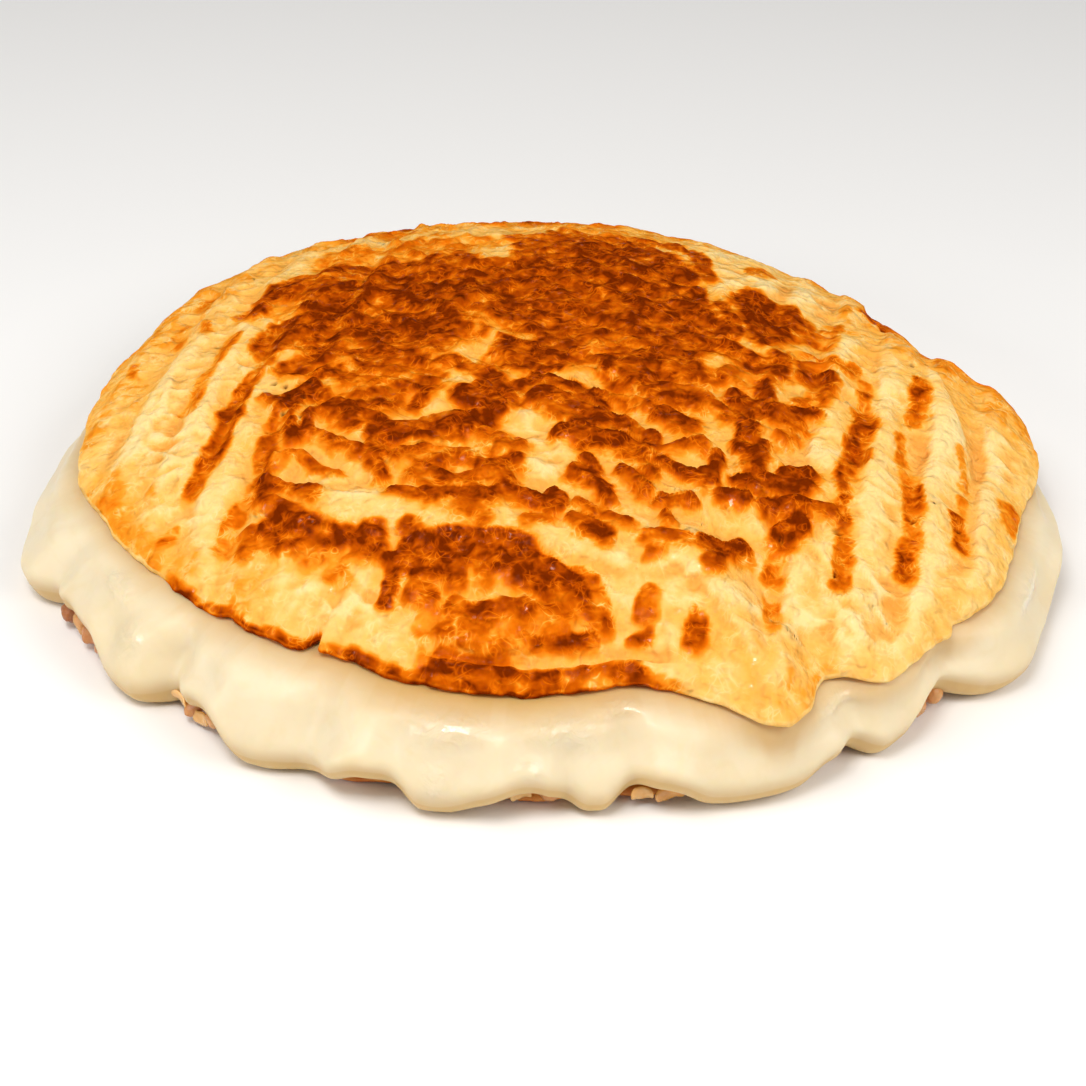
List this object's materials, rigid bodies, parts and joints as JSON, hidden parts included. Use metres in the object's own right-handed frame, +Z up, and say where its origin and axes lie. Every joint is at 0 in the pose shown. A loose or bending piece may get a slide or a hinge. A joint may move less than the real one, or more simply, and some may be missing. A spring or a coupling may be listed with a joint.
{
  "type": "flatbread sandwich",
  "caption": "Round grilled flatbread sandwich with a chopped meat and onion filling, under melted cheese that spills out and sets in drips round its edge.",
  "frame": {"origin": "middle of the flat underside of the lower flatbread, on the surface the sandwich rests on", "axes": "+Z up through the layers, -Y towards the front that the picture shows, +X to the picture's right"},
  "size_m": [0.2183, 0.2061, 0.038],
  "materials": {
    "bottom_bread": "dry toasted flatbread, golden with a browner edge",
    "filling": "moist chopped meat and soft golden onion",
    "cheese": "smooth melted cheese, creamy and wet-looking",
    "top_bread": "thin wrinkled flatbread, oiled, golden with heavy brown grill marks"
  },
  "bodies": {
    "root": {"bottom_bread": "bottom_bread", "filling": "filling", "cheese": "cheese", "top_bread": "top_bread"}
  },
  "joints": []
}
